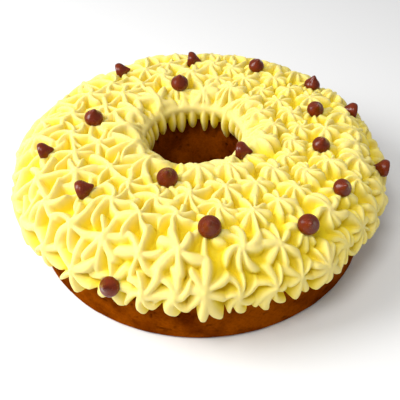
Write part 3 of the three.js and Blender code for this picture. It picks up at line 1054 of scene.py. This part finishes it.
@dataclass
class Frosting:
    """The cream: one relief of stars over a thin coat, with petals fused on, cut back to what it lies on."""

    skin: Skin
    piping: Piping
    shape: StarShape = field(default_factory=StarShape)
    petals: HolePetals = field(default_factory=HolePetals)
    columns: int = 1440
    row_from: float = -9.0
    row_to: float = 95.0
    rows: int = 208
    under_rows: int = 26
    triangles: int = 180000
    blend: float = 0.7
    bend: float = 1.2
    bend_grain: float = 12.0
    hem: float = 86.0
    hem_soft: float = 5.0
    root_depth: float = 3.0
    coat_from: float = 7.0
    coat_to: float = 91.0
    coat_soft: float = 1.5
    coat_top: float = 2.2
    lip_at: float = 83.0
    lip_rise: float = 8.8
    lip_front: float = 1.2
    lip_slot: float = 2.6
    lip_rib: float = 8.0
    lip_inside: float = 3.5
    lip_uneven: float = 0.12
    lip_grain: float = 11.0
    # How much painted light the lip gets.
    lip_painted_light: float = 0.85
    rib_wander: float = 2.0
    pull: float = 0.5
    pull_grain: float = 9.0
    spread_passes: int = 3
    gap: float = 0.1
    cutter_columns: int = 240
    crease: float = 80.0

    # Name of the stored painted light value: pale on crests, high points and the lip, painted shade in
    # grooves.
    PAINTED_LIGHT = "crest"
    LEAST = 0.02

    def ridges(self, stars: Stars, star: int) -> Ridges:
        """The ridges of one star, long enough for neighbours' ridges to meet like a web.

        A ridge runs out to the first of the lines half way to the other stars, and a little over it. One
        that points at no neighbour keeps the star's radius, and is wider where it ends on the outside.

        Args:
            stars: All stars.
            star: Which star.

        Returns:
            Its ridges.
        """
        shape, radius = self.shape, stars.radius[star]
        style = shape.style(stars.bearing[star])
        count = stars.ridges[star] + round(style.extra)
        number = star * self.piping.most_ridges + np.arange(count)
        step = np.arange(count) + swing(number, Salt.RIDGE_TURN, shape.turn_uneven)
        angle = stars.facing[star] + step / count * CIRCLE
        aim = angle + stars.twist[star]
        middle = self.skin.flat(stars.bearing, stars.path)
        away = middle - middle[star]
        ahead = np.cos(aim)[:, None] * away[:, 0] + np.sin(aim)[:, None] * away[:, 1]
        squared = (away**2).sum(axis=-1)
        half_way = np.where(ahead > TINY, squared / np.maximum(2 * ahead, TINY), np.inf).min(axis=-1)
        alone = half_way > shape.longest * radius
        met = np.clip(half_way + style.overlap, shape.shortest * radius, shape.longest * radius)
        free = alone & (stars.path[star] < self.skin.shoulder_arc)
        width = 1 + swing(number, Salt.RIDGE_WIDTH, shape.width_uneven)
        return Ridges(
            style=style,
            twist=stars.twist[star],
            angle=angle,
            length=np.where(alone, radius, met) * (1 + swing(number, Salt.RIDGE, shape.stretch_uneven)),
            width=width * np.where(free, style.free_width, 1),
            lift=swing(number, Salt.RIDGE_HEIGHT, shape.height_uneven),
        )

    def coat(self, bearing: Array, path: Array) -> tuple[Array, Array]:
        """The thin coat under the stars, with a full lip round the hole.

        The coat ends softly at both edges. The lip is a bell curve over the path, fuller at the front and
        uneven by smooth noise. On its outside it runs out in ribs, one over each petal, by a wave.

        Args:
            bearing: Bearings in radians.
            path: Distances along the walk.

        Returns:
            Heights off the skin, and painted light values, paler on the lip.
        """
        root = self.shape.root
        noise = soft_noise(self.skin.place(bearing, path, 0.0 * path), self.lip_grain, Pattern.LIP)
        rib = 0.5 + 0.5 * np.cos(self.petals.count * bearing + self.rib_wander * noise)
        outside = self.lip_slot + (self.lip_rib - self.lip_slot) * rib
        width = np.where(path < self.lip_at, outside, self.lip_inside)
        lip = (1 + self.lip_uneven * noise) * np.exp(-(((path - self.lip_at) / width) ** 2))
        start = np.clip((path - self.coat_from) / self.coat_soft, 0, 1)
        end = np.clip((self.coat_to - path) / self.coat_soft, 0, 1)
        cover = start * end * (root + self.coat_top) - root
        height = cover + (self.lip_rise + self.lip_front * np.cos(bearing)) * lip
        # Painted light on the lip.
        return height, np.clip(self.LEAST + self.lip_painted_light * lip, self.LEAST, 1)

    def relief(self, stars: Stars, bearing: Array, path: Array) -> tuple[Array, Array]:
        """The cream's height off the skin: the coat and every ridge, blended where they meet.

        The blend is the logarithm of a sum of exponentials, which is the greatest height with a soft
        fillet. Smooth noise bends the plane first, so that no ridge runs true.

        Args:
            stars: The piped stars.
            bearing: Bearings in radians.
            path: Distances along the walk.

        Returns:
            Heights in millimetres, and painted light values from 0 to 1: half how near each point is to a
            crest, half how high it is.
        """
        root = self.shape.root
        flat = self.skin.flat(bearing, path)
        spots = np.concatenate([flat, np.zeros(flat[:, :1].shape)], axis=-1)
        flat = flat + self.bend * wavering(spots, self.bend_grain, Pattern.BEND_X, Pattern.BEND_Y)
        height, near = self.coat(bearing, path)
        total = np.exp(height / self.blend)
        before_hem = np.clip((self.hem - path) / self.hem_soft, 0, 1)
        for star, middle in enumerate(self.skin.flat(stars.bearing, stars.path)):
            ridges = self.ridges(stars, star)
            offset = flat - middle
            close = np.flatnonzero((offset**2).sum(axis=-1) < (ridges.length.max() + 1) ** 2)
            wall, out = self.shape.walls(offset[close], ridges)
            wall = wall * before_hem[close, None]
            arch = 1 - ridges.style.fall * out**2 - ridges.style.dip * (1 - out) ** 4
            crest = stars.height[star] * arch * (1 + ridges.lift * out)
            rise = (crest + root) * wall - root
            total[close] += (np.exp(rise / self.blend) - math.exp(-root / self.blend)).sum(axis=-1)
            near[close] = np.maximum(near[close], wall.max(axis=-1) ** 2)
        height = self.blend * np.log(total)
        # Painted light: paler near crests and on high points, painted shade low in the grooves.
        return height, 0.5 * near + 0.5 * np.clip(height / self.piping.height, 0, 1)

    def softened(self, values: Array) -> Array:
        """Values of the grid, each drawn half way to the mean of its neighbours, along both ways.

        Args:
            values: One value for each point of the grid.

        Returns:
            The softer values.
        """
        grid = values.reshape(self.rows, self.columns)
        grid = grid / 2 + (np.roll(grid, 1, axis=1) + np.roll(grid, -1, axis=1)) / 4
        padded = np.pad(grid, ((1, 1), (0, 0)), mode="edge")
        grid = grid / 2 + (padded[:-2] + padded[2:]) / 4
        return grid.ravel()

    # Painted light values, stored for the cream's finish.
    def painted_light_values(self, near: Array) -> dict[str, Array]:
        """Painted light values to store, none of them quite 0, from how near each point is to a crest."""
        return {self.PAINTED_LIGHT: self.LEAST + (1 - self.LEAST) * np.clip(near, 0, 1)}

    def sheet(self, stars: Stars) -> Piece:
        """The relief as a closed solid: a grid over the skin, and a plain one under it that joins its edges.

        Args:
            stars: The piped stars.

        Returns:
            The solid.
        """
        bearing = around(self.columns)
        path = np.linspace(self.row_from, self.row_to, self.rows)
        all_path, all_bearing = (grid.ravel() for grid in np.meshgrid(path, bearing, indexing="ij"))
        height, near = self.relief(stars, all_bearing, all_path)
        top = self.skin.place(all_bearing, all_path, self.softened(height))
        under_path = np.linspace(self.row_to, self.row_from, self.under_rows)[:, None]
        under = self.skin.place(bearing[None], under_path, np.full(under_path.shape, -self.root_depth))
        points = np.concatenate([top, under.reshape(-1, 3)])
        near = np.concatenate([self.softened(near), np.zeros(self.under_rows * self.columns)])
        faces = ring_faces(self.rows + self.under_rows, self.columns)
        return solid("cream_sheet", points, faces, self.painted_light_values(near))

    def petal_solids(self) -> list[Piece]:
        """Every petal in the hole as a closed solid of its own.

        Returns:
            One solid for each petal.
        """
        faces = capped_faces(self.petals.rows, self.petals.columns)
        shells = enumerate(zip(*self.petals.points(self.skin)))
        return [solid(f"petal_{i:03d}", points, faces, self.painted_light_values(near)) for i, (points, near) in shells]

    def spread_painted_light(self, mesh: Mesh) -> None:
        """Gives points made where solids meet, whose painted light value is 0, the average of their
        neighbours' on the edges.

        Args:
            mesh: The fused cream.
        """
        values = read(mesh.attributes[self.PAINTED_LIGHT].data, "value", 1, np.float32)[:, 0].astype(float)
        first, second = read(mesh.edges, "vertices", 2, np.int32).T
        count = len(values)

        def beside(held: Array) -> Array:
            """The sum of what each point's neighbours hold."""
            return np.bincount(first, held[second], count) + np.bincount(second, held[first], count)

        for _ in range(self.spread_passes):
            known = (values > 0).astype(float)
            values = np.where(values > 0, values, beside(values) / np.maximum(beside(known), 1))
        put_values(mesh, self.PAINTED_LIGHT, values)

    def unsettle(self, mesh: Mesh) -> None:
        """Pulls the fused cream a little out of true, by smooth noise in each direction.

        Args:
            mesh: The fused cream.
        """
        points = read(mesh.vertices, "co", 3, np.float32).astype(float) / MM
        shift = wavering(points, self.pull_grain, Pattern.PULL_X, Pattern.PULL_Y, Pattern.PULL_Z)
        mesh.vertices.foreach_set("co", ((points + self.pull * shift) * MM).ravel())
        mesh.update()

    def build(self, stars: Stars, ring: BakedRing, sockets: list[Piece]) -> Piece:
        """Fuses petals onto the relief, cuts ring and sockets out, and merges triangles where it is plain.

        Args:
            stars: The piped stars.
            ring: The ring that carries the cream.
            sockets: Solids of the drops, which are used up.

        Returns:
            The cream as one skin.
        """
        piece = self.sheet(stars)
        combine(piece, self.petal_solids(), Join.FUSE)
        self.spread_painted_light(piece.data)
        self.unsettle(piece.data)
        combine(piece, [ring.cutter(self.gap, self.cutter_columns), *sockets], Join.CUT)
        self.spread_painted_light(piece.data)
        step = piece.modifiers.new("thin_out", "DECIMATE")
        step.ratio = min(1.0, self.triangles / triangle_count(piece.data))
        apply_modifiers(piece)
        piece.name = piece.data.name = "piped_cream"
        shade(piece.data, self.crease)
        return piece


@dataclass
class ChocolateDrops:
    """Small chocolate drops with a flat base, a round body and a bent tip, a little sunk into the cream."""

    skin: Skin
    places: DropPlaces = field(default_factory=DropPlaces)
    radius: float = 6.0
    height: float = 10.5
    belly: float = 2.6
    base_share: float = 0.8
    point: float = 1.3
    tip_rise: float = 3.0
    tip_radius: float = 2.4
    columns: int = 48
    base_rows: int = 7
    side_rows: int = 30
    lean: float = 0.7
    crease: float = 60.0

    def section(self) -> Array:
        """Half a drop's section: a quarter ellipse from the base's edge to the belly, then a tipped dome.

        The dome is a quarter turn whose radius is a power of the cosine, and its tip a bell curve on top.

        Returns:
            Radius and height of each point, from the base up.
        """
        turn = np.linspace(0, QUARTER, self.base_rows)
        edge = self.radius * self.base_share
        low_r = edge + (self.radius - edge) * np.sin(turn)
        low_z = self.belly * (1 - np.cos(turn))
        over = np.linspace(0, QUARTER, self.side_rows + 1)[1:-1]
        side_r = self.radius * np.cos(over) ** self.point
        dome = (self.height - self.belly - self.tip_rise) * np.sin(over)
        side_z = self.belly + dome + self.tip_rise * np.exp(-((side_r / self.tip_radius) ** 2))
        return np.stack([np.concatenate([low_r, side_r]), np.concatenate([low_z, side_z])], axis=-1)

    def shell(self, name: str, drop: int, swell: float) -> Piece:
        """One drop where it lies: its section turned about its axis, the tip bent by the height's cube.

        Args:
            name: What the solid's name starts with.
            drop: Which drop, from 0.
            swell: How far it is swollen.

        Returns:
            A closed solid.
        """
        size = self.places.sizes()[drop]
        section = size * self.section()
        tall = size * self.height
        turn = around(self.columns)
        radius, height = section[:, None, 0] + swell, section[:, None, 1]
        body = np.stack(np.broadcast_arrays(radius * np.cos(turn), radius * np.sin(turn), height), axis=-1)
        local = np.concatenate([body.reshape(-1, 3), [[0, 0, -swell], [0, 0, tall + swell]]])
        way = chance(drop, Salt.DROP_TURN) * CIRCLE
        bent = self.lean * chance(drop, Salt.DROP_LEAN) * np.clip(local[:, 2] / tall, 0, 1) ** 3
        local[:, 0] += bent * np.cos(way)
        local[:, 1] += bent * np.sin(way)
        axis = Vector(self.places.axes()[drop])
        spin = np.array(Vector((0, 0, 1)).rotation_difference(axis).to_matrix())
        points = local @ spin.T + self.places.bases(self.skin)[drop]
        return solid(f"{name}_{drop + 1:02d}", points, capped_faces(len(section), self.columns))

    def sockets(self, gap: float) -> list[Piece]:
        """Swollen copies of all drops, to cut their sockets."""
        return [self.shell("socket", drop, gap) for drop in range(len(self.places.rows))]

    def build(self) -> list[Piece]:
        """All drops, each a piece of its own.

        Returns:
            The drops in order.
        """
        pieces = [self.shell("drop", drop, 0.0) for drop in range(len(self.places.rows))]
        for piece in pieces:
            shade(piece.data, self.crease)
        return pieces


@dataclass(frozen=True)
class Lamp:
    """A square lamp that looks at the cake: its place and its side in metres, and its power in watts."""

    name: str
    place: Place
    size: float
    power: float


@dataclass
class Studio:
    """A plain pale floor, soft light from the upper left and a camera at the photo's angle, in metres."""

    camera_at: Place = (0.0, -0.3254, 0.3010)
    camera_look: Place = (-0.00087, 0.74544, -0.66657)
    camera_roll: float = math.radians(-1.08)
    camera_near: float = 0.01
    lens: float = 58.1
    sensor: float = 36.0
    floor_half: float = 6.0
    floor_colour: Colour = (0.86, 0.86, 0.86)
    floor_roughness: float = 0.8
    sky_low: float = 0.34
    sky_high: float = 0.42
    lamps: tuple[Lamp, ...] = (
        Lamp("key", (-0.75, -0.1, 0.65), 0.5, 9.6),
        Lamp("fill", (-0.2, -0.45, 0.9), 0.3, 4.2),
    )

    def floor(self) -> None:
        """A wide pale floor under the cake."""
        half = self.floor_half / MM
        square = np.array([[-half, -half, 0], [half, -half, 0], [half, half, 0], [-half, half, 0]])
        piece = solid("floor", square, [[0, 1, 2, 3]])
        look = {"Base Color": (*self.floor_colour, 1.0), "Roughness": self.floor_roughness}
        piece.data.materials.append(Shading.material("pale_floor").finish(look))
        bpy.context.scene.collection.objects.link(piece)

    def surround(self) -> None:
        """A white surround, brighter overhead than at the horizon."""
        sky = Shading(bpy.data.worlds.new("surround"))
        up = sky.add("SeparateXYZ", "Z", {"Vector": sky.add("TexCoord", "Generated", {})})
        span = {"Value": up, "To Min": self.sky_low, "To Max": self.sky_high}
        look = {"Color": (1.0, 1.0, 1.0, 1.0), "Strength": sky.add("MapRange", "Result", span)}
        bpy.context.scene.world = sky.finish(look, "Background")
        bpy.context.scene.view_settings.view_transform = "Standard"

    @staticmethod
    def aim(data: bpy.types.ID, place: Place, look: Vector, roll: float) -> Piece:
        """Stands a lamp or a camera up.

        Args:
            data: The lamp or the camera.
            place: Where it stands.
            look: The direction in which it looks.
            roll: How far it is turned about that direction.

        Returns:
            The object.
        """
        piece = bpy.data.objects.new(data.name, data)
        piece.location = place
        piece.rotation_mode = "QUATERNION"
        piece.rotation_quaternion = look.to_track_quat("-Z", "Y") @ Quaternion((0, 0, 1), roll)
        bpy.context.scene.collection.objects.link(piece)
        return piece

    def light(self) -> None:
        """A broad lamp from the left and a small one from over the camera."""
        for lamp in self.lamps:
            data = bpy.data.lights.new(lamp.name, "AREA")
            data.size = lamp.size
            data.energy = lamp.power
            self.aim(data, lamp.place, -Vector(lamp.place), 0.0)

    def camera(self) -> None:
        """The camera, with a small roll about its own axis."""
        data = bpy.data.cameras.new("camera")
        data.lens = self.lens
        data.sensor_width = self.sensor
        data.clip_start = self.camera_near
        bpy.context.scene.camera = self.aim(data, self.camera_at, Vector(self.camera_look), self.camera_roll)


def main() -> None:
    """Builds the cake piece by piece, then the studio."""
    logging.basicConfig(level=logging.INFO, format="%(name)s: %(message)s")
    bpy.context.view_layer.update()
    skin = Skin()
    ring = BakedRing(skin)
    drops = ChocolateDrops(skin)
    piping = Piping(skin)
    frosting = Frosting(skin, piping)
    stars = piping.pipe(drops.places)
    log.info("%d stars piped", len(stars.bearing))
    present(ring.build(), "cake", CrustFinish().material())
    cream = frosting.build(stars, ring, drops.sockets(frosting.gap))
    present(cream, "frosting", CreamFinish().material())
    chocolate = ChocolateFinish().material()
    for number, piece in enumerate(drops.build(), start=1):
        present(piece, f"chocolate_drop_{number:02d}", chocolate)
    studio = Studio()
    studio.floor()
    studio.surround()
    studio.light()
    studio.camera()


if __name__ == "__main__":
    main()
